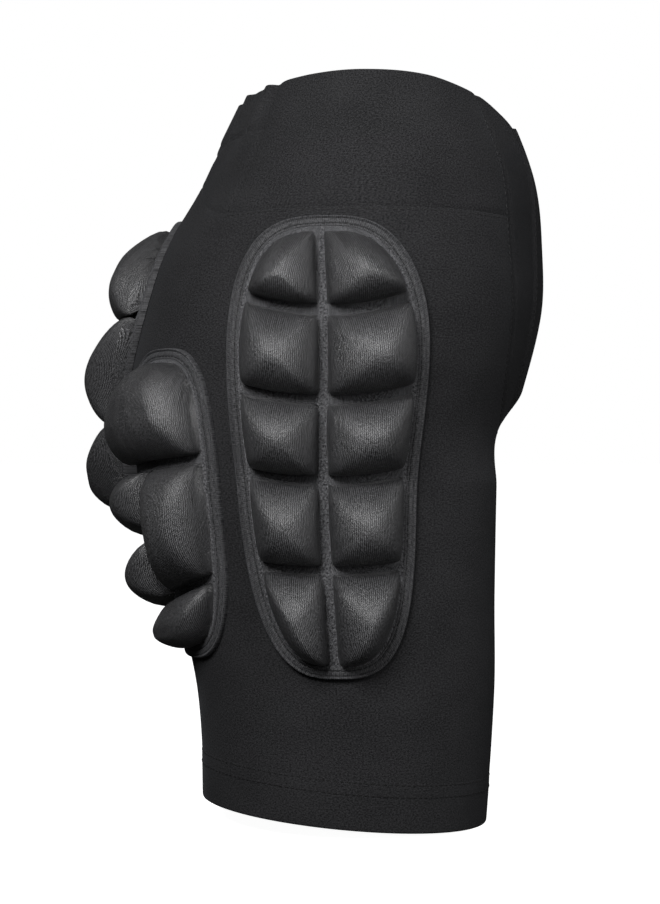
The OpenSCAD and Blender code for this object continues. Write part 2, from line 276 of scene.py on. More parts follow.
def slab(outer, inner, ring=False):
    """Points and faces of a closed solid between two grids of the same size."""
    rows, cols = outer.shape[:2]
    points = np.concatenate([outer.reshape(-1, 3), inner.reshape(-1, 3)])
    half = rows * cols
    i, j = np.meshgrid(np.arange(rows - 1), np.arange(cols if ring else cols - 1), indexing="ij")
    k = (j + 1) % cols
    quads = np.stack([i * cols + j, (i + 1) * cols + j, (i + 1) * cols + k, i * cols + k], -1)
    quads = quads.reshape(-1, 4)
    j = np.arange(cols if ring else cols - 1)
    k = (j + 1) % cols
    top = (rows - 1) * cols
    sides = [
        np.stack([j, k, half + k, half + j], -1),
        np.stack([top + k, top + j, half + top + j, half + top + k], -1),
    ]
    if not ring:
        a = np.arange(rows - 1) * cols
        sides.append(np.stack([a + cols, a, half + a, half + a + cols], -1))
        a = a + cols - 1
        sides.append(np.stack([a, a + cols, half + a + cols, half + a], -1))
    return points, np.concatenate([quads, half + quads[:, ::-1], *sides]).tolist()


def grid_uv(u, v):
    """The same map for the outer and the inner grid of a slab."""
    one = np.stack(np.broadcast_arrays(u, v), -1).reshape(-1, 2)
    return np.concatenate([one, one])


def closed_faces(rows, cols):
    """Faces of a closed ring that has a closed section."""
    i, j = np.meshgrid(np.arange(rows), np.arange(cols), indexing="ij")
    i2, j2 = (i + 1) % rows, (j + 1) % cols
    faces = np.stack([i * cols + j, i2 * cols + j, i2 * cols + j2, i * cols + j2], -1)
    return faces.reshape(-1, 4).tolist()


STITCH_SIDES = 6
STITCH_PLACES = np.array([0.0, 0.18, 0.5, 0.82, 1.0])  # along one stitch
STITCH_SWELL = np.array([0.45, 0.9, 1.0, 0.9, 0.45])  # its thickness there


def resampled(values, places, at):
    """Rows of values that belong to the distances at, taken at other distances."""
    return np.stack([np.interp(places, at, values[:, k]) for k in range(3)], -1)


def stitches(path, up, length, space, radius, lift):
    """Short raised threads along a path, as one set of points and faces."""
    step = np.linalg.norm(np.diff(path, axis=0), axis=1)
    at = np.concatenate([[0], np.cumsum(step)])
    starts = np.arange(0, at[-1] - length, length + space)
    places = starts[:, None] + STITCH_PLACES * length
    centre = resampled(path, places, at)
    normal = resampled(up, places, at)
    normal /= np.linalg.norm(normal, axis=-1, keepdims=True)
    along = centre[:, -1:] - centre[:, :1]
    along /= np.maximum(np.linalg.norm(along, axis=-1, keepdims=True), 1e-9)
    side = np.cross(along, normal)
    swell = STITCH_SWELL[None, :, None]
    rings = []
    for k in range(STITCH_SIDES):
        turn = 2 * math.pi * k / STITCH_SIDES
        raised = normal * (lift + radius * swell * math.sin(turn))
        rings.append(centre + raised + side * radius * swell * math.cos(turn))
    points = np.stack(rings, 2)
    count, length_rows = points.shape[:2]
    base = (np.arange(count) * length_rows * STITCH_SIDES)[:, None]
    tube = []
    for i in range(length_rows - 1):
        low, high = i * STITCH_SIDES, (i + 1) * STITCH_SIDES
        for k in range(STITCH_SIDES):
            k2 = (k + 1) % STITCH_SIDES
            tube.append([low + k, high + k, high + k2, low + k2])
    faces = (base[:, :, None] + np.array(tube)[None]).reshape(-1, 4).tolist()
    first_cap = np.arange(STITCH_SIDES)
    last_cap = (length_rows - 1) * STITCH_SIDES + first_cap[::-1]
    for cap in (first_cap, last_cap):
        faces += (base + cap[None]).tolist()
    return points.reshape(-1, 3), faces


# ---------------------------------------------------------------- materials

BANDS = 3.183  # bands that the wave texture makes in one unit at scale 1
PATCHES = 0.15  # share of the slow change of shade
GRAIN_DEPTH = 0.0006  # metres


def fabric(name, colour, light, fine, rough, sheen, bump, ribs=0.0, ribs_depth=0.0, specular=0.2):
    """A knitted fabric between two colours. fine is the grain in cells a metre along u and v, ribs
    the distance between ribs in metres, and ribs_depth their share of the grain."""
    m = bpy.data.materials.new(name)
    m.use_nodes = True
    nodes, links = m.node_tree.nodes, m.node_tree.links
    shader = nodes["Principled BSDF"]
    shader.inputs["Roughness"].default_value = rough
    shader.inputs["Specular IOR Level"].default_value = specular
    shader.inputs["Sheen Weight"].default_value = sheen
    shader.inputs["Sheen Roughness"].default_value = 0.45
    shader.inputs["Sheen Tint"].default_value = (0.75, 0.78, 0.85, 1)
    uv = nodes.new("ShaderNodeUVMap")
    uv.uv_map = "cloth"

    def noise(scale_u, scale_v, detail, roughness=0.6):
        mapping = nodes.new("ShaderNodeMapping")
        mapping.inputs["Scale"].default_value = (scale_u, scale_v, 1)
        links.new(uv.outputs["UV"], mapping.inputs["Vector"])
        n = nodes.new("ShaderNodeTexNoise")
        n.inputs["Scale"].default_value = 1.0
        n.inputs["Detail"].default_value = detail
        n.inputs["Roughness"].default_value = roughness
        links.new(mapping.outputs["Vector"], n.inputs["Vector"])
        return n.outputs["Fac"]

    def math_node(operation, a, b):
        n = nodes.new("ShaderNodeMath")
        n.operation = operation
        for k, v in enumerate((a, b)):
            if isinstance(v, (int, float)):
                n.inputs[k].default_value = v
            else:
                links.new(v, n.inputs[k])
        return n.outputs["Value"]

    grain = noise(fine[0], fine[1], 3.0, 0.75)
    patchy = noise(22, 22, 3.0)
    if ribs:
        wave = nodes.new("ShaderNodeTexWave")
        wave.wave_type = "BANDS"
        wave.bands_direction = "X"
        wave.inputs["Scale"].default_value = 1 / ribs / BANDS
        wave.inputs["Distortion"].default_value = 0.35
        wave.inputs["Detail"].default_value = 1.0
        wave.inputs["Detail Scale"].default_value = 3.0
        links.new(uv.outputs["UV"], wave.inputs["Vector"])
        plain = math_node("MULTIPLY", grain, 1 - ribs_depth)
        grain = math_node("ADD", plain, math_node("MULTIPLY", wave.outputs["Fac"], ribs_depth))
    slow = math_node("MULTIPLY", patchy, PATCHES)
    shade = math_node("ADD", math_node("MULTIPLY", grain, 1 - PATCHES), slow)
    ramp = nodes.new("ShaderNodeValToRGB")
    for element, position, tone in zip(ramp.color_ramp.elements, (0.40, 0.62), (colour, light)):
        element.position = position
        element.color = (*tone, 1)
    links.new(shade, ramp.inputs["Fac"])
    links.new(ramp.outputs["Color"], shader.inputs["Base Color"])
    bump_node = nodes.new("ShaderNodeBump")
    bump_node.inputs["Strength"].default_value = bump
    bump_node.inputs["Distance"].default_value = GRAIN_DEPTH
    links.new(grain, bump_node.inputs["Height"])
    links.new(bump_node.outputs["Normal"], shader.inputs["Normal"])
    return m


JERSEY = fabric(
    "jersey", (0.0042, 0.0042, 0.0046), (0.0225, 0.0225, 0.0238), (1100, 1100),
    rough=0.9, sheen=0.03, bump=0.4, specular=0.12,
)
DARK_JERSEY = fabric(
    "dark_jersey", (0.005, 0.005, 0.0055), (0.021, 0.021, 0.022), (1100, 1100),
    rough=0.9, sheen=0.02, bump=0.4, specular=0.1,
)
RIB_KNIT = fabric(
    "rib_knit", (0.0015, 0.0015, 0.0016), (0.062, 0.062, 0.065), (800, 600),
    rough=0.40, sheen=0.0, bump=1.0, ribs=0.0012, ribs_depth=0.22, specular=0.5,
)
FLANGE = fabric(
    "brushed_channel", (0.012, 0.012, 0.013), (0.11, 0.11, 0.115), (800, 800),
    rough=0.95, sheen=0.08, bump=1.0, specular=0.1,
)
TAPE = fabric(
    "binding_tape", (0.008, 0.008, 0.009), (0.060, 0.060, 0.063), (900, 700),
    rough=0.75, sheen=0.06, bump=0.9, ribs=0.0011, ribs_depth=0.1, specular=0.25,
)
THREAD = fabric(
    "thread", (0.003, 0.003, 0.003), (0.008, 0.008, 0.008), (1500, 1500),
    rough=0.6, sheen=0.02, bump=0.3,
)
ELASTIC = fabric(
    "elastic", (0.015, 0.015, 0.016), (0.045, 0.045, 0.047), (700, 1600),
    rough=0.8, sheen=0.05, bump=0.6, ribs=0.0012, ribs_depth=0.4,
)

# ---------------------------------------------------------------- the two sides, and pieces baked in place

SIDES = {"right": -1, "left": 1}


def bend(obj):
    """Bakes the piece's placement into its mesh; the cloth does not follow the pelvis or the leg."""
    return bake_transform(obj)


# ---------------------------------------------------------------- the shorts

CLOTH_T = 1.0
INNER_BACK = 0.9  # columns before this b aren't moved by the step in the panel's back edge
CENTRE_GAP = 0.0015  # b between a panel's edge and the centre line
HEM_HEIGHT = 29.0
INNER_HALF = 0.055  # half the width in b of the inner leg panel at the hem
INNER_NARROWS = 110.0  # it narrows from here up to the thigh seam
POUCH_LAYER = 1.7


def width_along(b, z):
    """Distance round the body, near enough for a weave."""
    return GIRTH / 2 * b + 0 * z


def panel(name, b, z, material, side, d=0.0):
    """A cloth panel over grids of b and z, d off the body."""
    d = d + np.zeros(b.shape)
    points, faces = slab(cloth_point(b, z, d + CLOTH_T), cloth_point(b, z, d))
    return new_piece(name, points, faces, grid_uv(width_along(b, z), z), side == "left", material)


def cloth_grid(rows, cols, b_low, b_high, z_low, z_high, steady=1.0):
    """b and z grids between edges that are functions of height and of b. The columns up to the
    fraction steady end at INNER_BACK, and the others reach the back edge."""
    s = np.linspace(0, 1, cols)[None, :]
    f = np.linspace(0, 1, rows)[:, None]
    b = 0.5 + 0 * s
    for _ in range(9):
        z = mix(z_low(b), z_high(b), f)
        if steady < 1:
            front = mix(b_low(z), INNER_BACK, s / steady)
            back = mix(INNER_BACK, b_high(z), (s - steady) / (1 - steady))
            b = np.where(s < steady, front, back)
        else:
            b = mix(b_low(z), b_high(z), s)
    z = mix(z_low(b), z_high(b), f)
    return b, z


def inner_edge(z):
    """Half the width in b of the inner leg panel, which narrows up to the crotch."""
    narrow = ease((z - INNER_NARROWS) / (THIGH_SEAM - INNER_NARROWS))
    return mix(INNER_HALF, front_seam(THIGH_SEAM), narrow)


def side_front_edge(z):
    """The side panel meets the inner leg panel below the thigh seam and the front panel above it."""
    return np.where(z < THIGH_SEAM, inner_edge(z), front_seam(z))


def side_back_edge(z):
    """It meets the inner leg panel again below the thigh seam, and its mirror image above it."""
    return 1 - np.where(z < THIGH_SEAM, inner_edge(z), CENTRE_GAP)


def hem_top(b):
    return hem_line(b) + HEM_HEIGHT


def yoke_back_edge(z):
    return side_b(YOKE_BACK) + 0 * z


def side_panel(side):
    """From the hem to the yoke seam, wrapping to the centre back."""
    b, z = cloth_grid(150, 170, side_front_edge, side_back_edge, hem_top, back_seam, 0.88)
    cloth = panel(f"{side}_side_panel_cloth", b, z, JERSEY, side)
    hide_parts(f"{side}_side_panel", f"{side}_thigh_panel")
    bend(cloth)


def inner_leg_panel(side):
    """On both sides of the line where b starts and ends."""
    s = np.linspace(-1, 1, 17)[None, :]
    f = np.linspace(0, 1, 90)[:, None]
    z = mix(HEM_HEIGHT, THIGH_SEAM, f) + 0 * s
    b = inner_edge(z) * s
    points, faces = slab(*[cloth_point(b % 1.0, z, d + 0 * b) for d in (CLOTH_T, 0.0)])
    uv = grid_uv(width_along(b, z), z)
    inner = new_piece(f"{side}_inner_leg_cloth", points, faces, uv, side == "left", DARK_JERSEY)
    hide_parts(f"{side}_inner_leg_panel")
    bend(inner)


def front_panel(side):
    """With a second layer over the middle that ends in a raised edge."""
    rows, cols = 120, 110
    s = np.linspace(0, 1, cols)[None, :]
    f = np.linspace(0, 1, rows)[:, None]
    b = np.full((rows, cols), 0.1)
    for _ in range(8):
        z = mix(THIGH_SEAM + 1, rim(b), f)
        b = np.maximum(front_seam(z) * s, CENTRE_GAP)
    layer = POUCH_LAYER * ease((side_b(POUCH_EDGE(z)) - b) / 0.004) * ease((z - 232) / 30)
    front = panel(f"{side}_front_cloth", b, z, DARK_JERSEY, side, layer)
    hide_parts(f"{side}_front_panel")
    bend(front)


def yoke_panel(side):
    """Over the hip pad, from the front seam to the yoke's rear seam."""
    b, z = cloth_grid(40, 60, front_seam, yoke_back_edge, back_seam, rim)
    yoke = panel(f"{side}_yoke_cloth", b, z, JERSEY, side)
    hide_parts(f"{side}_yoke")
    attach(yoke, "pelvis")


# The hem's section: heights over the hem line, and how far the outer skin stands off at each
HEM_TURN = np.array([-1.0, -0.75, 0.0, 1.0, 8, 16, 24, 27.5, HEM_HEIGHT, HEM_HEIGHT + 1.5])
HEM_PUFF = np.array([0.4, 0.95, 1.2, 1.25, 1.3, 1.3, 1.25, 1.05, 0.95, 0.6])


def hem_band(side):
    """Cloth turned up twice, with a soft fold at the bottom."""
    b = np.linspace(0, 1, 200, endpoint=False)[None, :]
    z = hem_line(b) + HEM_TURN[:, None] + 0 * b
    b = b + 0 * z
    puff = HEM_PUFF[:, None] + 0 * z
    points, faces = slab(cloth_point(b, z, puff), cloth_point(b, z, 0.4 - 0.9 * puff), ring=True)
    uv = grid_uv(width_along(b, z), z)
    hem = new_piece(f"{side}_hem_band", points, faces, uv, side == "left", JERSEY)
    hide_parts(f"{side}_hem")
    bend(hem)


def both_halves(right):
    """A grid from the centre front round the right side, followed by its mirror image."""
    return np.concatenate([right, right[:, ::-1] * [-1, 1, 1]], 1)


def both_halves_uv(b, z):
    u = width_along(b, z)
    return grid_uv(np.concatenate([u, GIRTH - u[:, ::-1]], 1), np.concatenate([z, z[:, ::-1]], 1))


def back_waist_panel():
    """One piece across both sides, between the yokes' rear seams."""
    s = np.linspace(side_b(YOKE_BACK) - 0.001, 1.0, 150)[None, :]
    f = np.linspace(0, 1, 60)[:, None]
    z = mix(back_seam(s), rim(s), f)
    b = np.minimum(s + 0 * z, 1 - CENTRE_GAP)
    points, faces = slab(*[both_halves(cloth_point(b, z, d + 0 * b)) for d in (CLOTH_T, 0.0)])
    back = new_piece("back_waist_cloth", points, faces, both_halves_uv(b, z), False, JERSEY)
    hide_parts("back_waist_panel")
    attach(back, "pelvis")


def inner_band(name, node, below_rim, skins, cloth):
    """A band inside the rim: its lower and upper edge below the rim, and its outer and inner skin
    off the body."""
    b = np.linspace(CENTRE_GAP, 1 - CENTRE_GAP, 140)[None, :]
    z = rim(b) - np.linspace(*below_rim, 9)[:, None]
    b = b + 0 * z
    grids = [both_halves(cloth_point(b, z, d + 0 * z)) for d in skins]
    points, faces = slab(*grids, ring=True)
    band = new_piece(name, points, faces, both_halves_uv(b, z), False, cloth)
    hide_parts(node)
    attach(band, "pelvis")


def gusset():
    """A saddle between the legs, as wide as the gap between them."""
    s = np.linspace(-1, 1, 13)[None, :]
    t = np.linspace(-1, 1, 41)[:, None]
    z = 197 + 13 * t**2
    edge = np.where(t[..., None] < 0, wall(0.0, z), wall(1.0, z))
    x = s * np.maximum(0.8, -edge[..., 0] - 1.2)
    y = mix(6, edge[..., 1], ease(np.abs(t) / 0.6)) + 0 * s
    z = z + 0 * s
    points, faces = slab(np.stack([x, y, z], -1), np.stack([x, y, z + CLOTH_T], -1))
    cloth = new_piece("crotch_gusset_cloth", points, faces, grid_uv(x, y), False, DARK_JERSEY)
    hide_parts("crotch_gusset")
    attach(cloth, "pelvis")


for side in SIDES:
    side_panel(side)
    inner_leg_panel(side)
    front_panel(side)
    yoke_panel(side)
    hem_band(side)
back_waist_panel()
inner_band("waist_elastic_band", "waist_elastic", (25, 3), (-0.5, -1.7), ELASTIC)
inner_band("waist_facing_cloth", "waist_facing", (27, 0.5), (-2.0, -2.9), DARK_JERSEY)
gusset()

# ---------------------------------------------------------------- lines of stitches

HEM_STITCH = (2.4, 1.3)  # length of a stitch and of the space after it
SEAM_STITCH = (2.6, 1.6)
FRONT_LINE = (215.0, 429.0)  # lowest and highest stitch
POUCH_LINE = (250.0, 420.0)
CASING_START = side_b(YOKE_BACK) + 0.004
RIDES = ("yoke_back_stitches", "casing_stitches")

# b and height along each line, its stitches, and their distance off the body
STITCH_LINES = {
    "hem_stitches": (lambda t: t, lambda t: hem_line(t) + 27.5, HEM_STITCH, 1.05),
    "lower_hem_stitches": (lambda t: t, lambda t: hem_line(t) + 20.5, HEM_STITCH, 1.38),
    "yoke_stitches": (
        lambda t: mix(front_seam(YOKE_SEAM), side_b(YOKE_BACK), t),
        lambda t: YOKE_SEAM - 2.0 + 0 * t, SEAM_STITCH, CLOTH_T,
    ),
    "yoke_back_stitches": (
        lambda t: side_b(YOKE_BACK) - 0.004 + 0 * t,
        lambda t: mix(YOKE_SEAM + 3, rim(side_b(YOKE_BACK)) - 3, t), SEAM_STITCH, CLOTH_T,
    ),
    "front_seam_stitches": (
        lambda t: front_seam(mix(*FRONT_LINE, t)) + 0.006,
        lambda t: mix(*FRONT_LINE, t), SEAM_STITCH, CLOTH_T,
    ),
    "pouch_stitches": (
        lambda t: side_b(POUCH_EDGE(mix(*POUCH_LINE, t))) - 0.006,
        lambda t: mix(*POUCH_LINE, t), SEAM_STITCH, CLOTH_T + POUCH_LAYER,
    ),
    "casing_stitches": (
        lambda t: mix(CASING_START, 0.998, t),
        lambda t: rim(mix(CASING_START, 0.998, t)) - CASING_SEAM, SEAM_STITCH, CLOTH_T,
    ),
}


def stitch_line(side, name):
    b_of, z_of, stitch, off = STITCH_LINES[name]
    along = np.linspace(0, 1, 300)
    b, z = b_of(along), z_of(along)
    path = cloth_point(b, z, off + 0 * b)
    up = outward(wall, np.clip(b, 0.003, 0.997), z)
    points, faces = stitches(path, up, *stitch, radius=0.3, lift=0.0)
    uv = np.zeros((len(points), 2))
    thread = new_piece(f"{side}_{name}", points, faces, uv, side == "left", THREAD)
    if name in RIDES:
        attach(thread, "pelvis")
    else:
        bend(thread)


for side in SIDES:
    for name in STITCH_LINES:
        stitch_line(side, name)

# ---------------------------------------------------------------- the pads

ROUND = 3.0
BASE = 2.6  # the backing's inner face, off the body


class Pad:
    """A pad that lies on a surface and stands off it along one direction, fanning out to its edges.

    across is the level direction from the pad's one side edge to the other; low and height say
    where it is; centre and half give its middle and half width by the fraction of its height.
    cells are (from, to) across and (from, to) up. limits enclose the pad's b on the surface. sag
    is how far the channels hang down. lean and lift move the full sides of the cells over the
    channels. swell is how far the cells' outer sides slope, and tallness their height. skirt
    takes the lower tape's edge down to the cloth where the surface falls away.
    """

    def __init__(
        self, surface, across, low, height, centre, half, cells, fan, limits,
        sag, lean, lift, swell, tallness, skirt=0,
    ):
        self.surface, self.across = surface, np.array([*across, 0.0])
        self.normal = np.array([-across[1], across[0], 0.0])
        self.low, self.height, self.centre, self.half = low, height, centre, half
        self.cells, self.fan, self.limits = cells, math.radians(fan), limits
        self.sag, self.lean, self.lift = sag, lean, lift
        self.swell, self.tallness, self.skirt = swell, tallness, skirt

    def point(self, q, z, d):
        """The point q across the pad at height z and d off the body."""
        lo = np.full(np.shape(q + z), self.limits[0])
        hi = np.full(np.shape(q + z), self.limits[1])
        for _ in range(24):
            m = (lo + hi) / 2
            less = self.surface(m, z) @ self.across < q
            lo, hi = np.where(less, m, lo), np.where(less, hi, m)
        f = (z - self.low) / self.height
        tilt = self.fan * (q - self.centre(f)) / self.half(0.5)
        way = np.sin(tilt)[..., None] * self.across + np.cos(tilt)[..., None] * self.normal
        return self.surface(lo, z) + way * np.asarray(d)[..., None]

    def place(self, s, f, grow=0.0):
        """q and z at s across and f up, with the outline grown by some millimetres."""
        y = 2 * f - 1
        end = np.maximum(1 - np.abs(y) ** ROUND, 0) ** (1 / ROUND)
        return self.centre(f) + s * (self.half(f) * end + grow), self.low + f * self.height

    def edge(self, q, z):
        """Distance inwards from the outline, near enough."""
        f = (z - self.low) / self.height
        y = 2 * f - 1
        x = (q - self.centre(f)) / self.half(f)
        g = np.maximum((np.abs(x) ** ROUND + np.abs(y) ** ROUND) ** (1 / ROUND), 1e-6)
        gx = (np.abs(x) / g) ** (ROUND - 1) / self.half(f)
        gy = (np.abs(y) / g) ** (ROUND - 1) * 2 / self.height
        return (1 - g) / np.hypot(gx, gy)


def soft_min(values, k):
    """A minimum whose creases are rounded over about k."""
    values = np.stack(values)
    low = values.min(0)
    return low - k * np.log(np.exp(-(values - low) / k).sum(0))


CHANNEL = 3.0  # half the width of the stitched channels
FLANGE_W = 3.0  # flat border between the cells and the binding
CELL_HEIGHT = 26.5
HANG = 3.5  # how far the top of a full cell hangs down
RIDGES = 0.6  # how much a cell is a pyramid with ridges; the rest is a round pillow
WIDEST, TALLEST = 60, 66  # cells beyond these sizes have a level top
FAR = 1e3  # a distance to no channel, where a cell ends at the pad's outline


def cells(pad, q, z):
    """Height of the pillow cells over the pad's backing, and how far their full sides lean out
    over the channels, across the pad and along it; and the number of the cell."""
    f = (z - pad.low) / pad.height
    half = pad.half(f)
    edge = pad.edge(q, z) - FLANGE_W
    height, lean_q, lean_z = np.zeros(q.shape), np.zeros(q.shape), np.zeros(q.shape)
    which = np.full(q.shape, -1)
    for k, (s0, s1, f0, f1) in enumerate(pad.cells):
        wide = (s1 - s0) * pad.half((f0 + f1) / 2) - 2 * CHANNEL
        tall = (f1 - f0) * pad.height - 2 * CHANNEL
        across, along = min(wide, WIDEST) / 2, min(tall, TALLEST) / 2
        x = q - pad.centre(f)
        low_z, high_z = pad.low + f0 * pad.height, pad.low + f1 * pad.height
        gaps = [
            (x - s0 * half - CHANNEL if s0 > -1 else FAR + 0 * x, across),
            (s1 * half - CHANNEL - x if s1 < 1 else FAR + 0 * x, across),
            (z - low_z - CHANNEL if f0 > 0 else FAR + 0 * x, along),
            (high_z - CHANNEL - z if f1 < 1 else FAR + 0 * x, along),
            (edge, pad.swell * min(across, along)),
        ]
        near = [np.clip(gap / reach, 0, 1) for gap, reach in gaps]
        inside = np.min([gap for gap, _ in gaps], axis=0) > 0
        roof = np.clip(soft_min(near, 0.06), 0, 1)
        round_top = np.prod([1 - (1 - n) ** 2 for n in near], axis=0)
        share = RIDGES * (1 - (1 - roof) ** 1.9) ** 0.6 + (1 - RIDGES) * round_top**0.5
        size = min(1.0, (min(wide, tall) + 30) / 64)
        share = np.where(inside, share, 0)
        height = np.maximum(height, CELL_HEIGHT * pad.tallness((f0 + f1) / 2) * size * share)
        which = np.where(inside, k, which)
        u = np.clip((x - (s0 + s1) / 2 * half) / (wide / 2), -1, 1)
        v = np.clip((z - (low_z + high_z) / 2) / (tall / 2), -1, 1)
        side = 4 * share * (1 - share)
        lean_q += side * u * np.abs(u)
        lean_z += side * v * np.abs(v)
    return height, lean_q, lean_z, which


def pad_lines(n, breaks):
    """Lines along one direction, crowding towards the cell edges."""
    out = [breaks[0]]
    for a, b in zip(breaks, breaks[1:]):
        count = max(4, int(round(n * (b - a) / (breaks[-1] - breaks[0]))))
        t = np.linspace(0, 1, count + 1)[1:]
        out += list(a + (b - a) * (t - 0.11 * np.sin(4 * np.pi * t) / 2))
    return np.array(out)


def pad_grid(pad, rows, cols):
    """s across and f up the pad, crowding towards the cells' edges and the rounded ends."""
    from_s, to_s, from_f, to_f = zip(*pad.cells)
    s = pad_lines(cols, sorted({-1.0, 1.0, *from_s, *to_s}))
    f = pad_lines(rows, sorted({*from_f, *to_f}))
    ends = 0.5 * (1 - np.cos(np.pi * np.linspace(0, 1, 15)[1:-1] / 2)) * 0.05
    middle = f[(f > 0.025) & (f < 0.975)]
    f = np.unique(np.concatenate([[0.0004], ends, middle, 1 - ends, [0.9996]]))
    return s[None, :], f[:, None]


def follow(obj, side):
    """A pad on one side is baked in place, and the one in the middle is attached to the pelvis."""
    if side:
        bend(obj)
    else:
        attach(obj, "pelvis")


def distance_along(points, axis):
    """Distance from the grid's first row or column, along the other ones."""
    steps = np.linalg.norm(np.diff(points, axis=axis), axis=2)
    before = ((1, 0), (0, 0)) if axis == 0 else ((0, 0), (1, 0))
    return np.pad(np.cumsum(steps, axis=axis), before)


def pad_cover(name, pad, side, rows, cols):
    """The ribbed cover with its pillow cells, and the brushed channels between them."""
    s, f = pad_grid(pad, rows, cols)
    q, z = pad.place(s, f, 0.0)
    height, lean_q, lean_z, which = cells(pad, q + 0 * z, z + 0 * q)
    droop = pad.sag(s + 0 * f, f + 0 * s)
    wrinkle = 0.3 * np.sin(q / 2.1 + z / 5.0) * np.sin(z / 3.3) * np.clip(height / 6, 0, 1)
    wrinkle = wrinkle * np.clip((CELL_HEIGHT - height) / 20, 0, 1)
    hanging = z - droop + pad.lift * lean_z - HANG * height / CELL_HEIGHT
    outer = pad.point(q + pad.lean * lean_q, hanging, BASE + 1.4 + height + wrinkle)
    inner = pad.point(q, z - droop, np.full(q.shape, BASE))
    points, faces = slab(outer, inner)
    run, rise = distance_along(outer, 1), distance_along(outer, 0)
    ribs_u = q + 0 * z
    for k, (s0, s1, *_) in enumerate(pad.cells):
        middle = np.abs(s[0] - (s0 + s1) / 2).argmin()
        from_middle = run - run[:, middle : middle + 1] + pad.half(0.5) * (s0 + s1) / 2
        ribs_u = np.where(which == k, from_middle, ribs_u)
    uv = grid_uv(ribs_u, rise)
    cover = new_piece(f"{name}_cover_cloth", points, faces, uv, side == "left", RIB_KNIT, False)
    cover.data.materials.append(FLANGE)
    level = np.concatenate([height.ravel(), np.zeros(height.size)])
    flat = [int(level[list(polygon.vertices)].max() < 0.6) for polygon in cover.data.polygons]
    cover.data.polygons.foreach_set("material_index", np.array(flat, np.int32))
    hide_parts(f"{name}_cover", f"{name}_foam", f"{name}_backing")
    follow(cover, side)


# The tape's section, from the cells' side outwards: a lip, a groove, a flat band, a groove, a bead
TAPE_SIDE = np.array([-0.6, -0.6, -0.1, 0.5, 1.0, 1.5, 3.4, 4.1, 4.6, 5.2, 5.8, 6.0, 5.9])
TAPE_UP = np.array([-0.8, 1.9, 2.3, 2.2, 1.7, 2.3, 2.5, 1.8, 2.4, 2.9, 2.4, 1.0, -1.1])
TAPE_TOP = 3  # the row of the section along which the tape's length is measured
THREAD_SIDE = 1.0


def outline(pad, grow):
    """q and z of points round the pad, outside its edge by some millimetres, and their fraction up."""
    t = np.linspace(0, 2 * np.pi, 260, endpoint=False)
    y = np.sign(np.sin(t)) * np.abs(np.sin(t)) ** (2 / ROUND)
    x = np.sign(np.cos(t)) * np.abs(np.cos(t)) ** (2 / ROUND)
    f = (1 + y) / 2
    q = pad.centre(f) + x * (pad.half(f) + grow)
    return q, pad.low + pad.height / 2 + y * (pad.height / 2 + grow), f


def pad_tape(name, pad, side):
    """The binding tape round the pad."""
    lines = []
    for outwards, up in zip(TAPE_SIDE, TAPE_UP):
        q, z, f = outline(pad, outwards)
        down = pad.skirt * ease((0.4 - f) / 0.15) if up < 0 else 0
        lines.append(pad.point(q, z, BASE + up - 0.4 - down + 0 * q))
    rings = np.stack(lines)
    rows, cols = rings.shape[:2]
    steps = np.linalg.norm(np.diff(rings[TAPE_TOP], axis=0), axis=1)
    length = np.concatenate([[0], np.cumsum(steps)])
    uv = np.stack(np.broadcast_arrays(length[None, :], TAPE_SIDE[:, None]), -1)
    faces = closed_faces(rows, cols)
    tape = new_piece(f"{name}_binding_tape", rings, faces, uv, side == "left", TAPE)
    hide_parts(f"{name}_binding")
    follow(tape, side)


def tape_stitches(name, pad, side):
    """The line of stitches that holds the tape, in its inner groove."""
    q, z, _ = outline(pad, THREAD_SIDE)
    path = pad.point(q, z, np.full(q.shape, BASE + 1.35))
    path = np.concatenate([path, path[:1]])
    above = np.zeros(path.shape) + pad.normal
    points, faces = stitches(path, above, 2.2, 1.1, radius=0.34, lift=0.1)
    uv = np.zeros((len(points), 2))
    thread = new_piece(f"{name}_binding_stitches", points, faces, uv, side == "left", THREAD)
    follow(thread, side)


def build_pad(name, pad, side, rows, cols):
    pad_cover(name, pad, side, rows, cols)
    pad_tape(name, pad, side)
    tape_stitches(name, pad, side)


def in_rows(rows, split):
    """Two columns of cells between the channels at these height fractions."""
    columns = ((-1, split), (split, 1))
    return [(a, b, low, high) for low, high in zip(rows, rows[1:]) for a, b in columns]


def hip_sag(s, f):
    """The channels hang lower in the middle of the pad."""
    return 12.5 * f * (1 - s**2) * np.minimum(1, 6 * (1 - f))


GLUTE_SLANT = Curve((0, 0), (0.26, 28), (0.66, 9), (1, 0))


def glute_sag(s, f):
    """The channels run down towards the inner side of the thigh."""
    return GLUTE_SLANT(f) * (s + 1) / 2


def tail_sag(s, f):
    return 0 * s


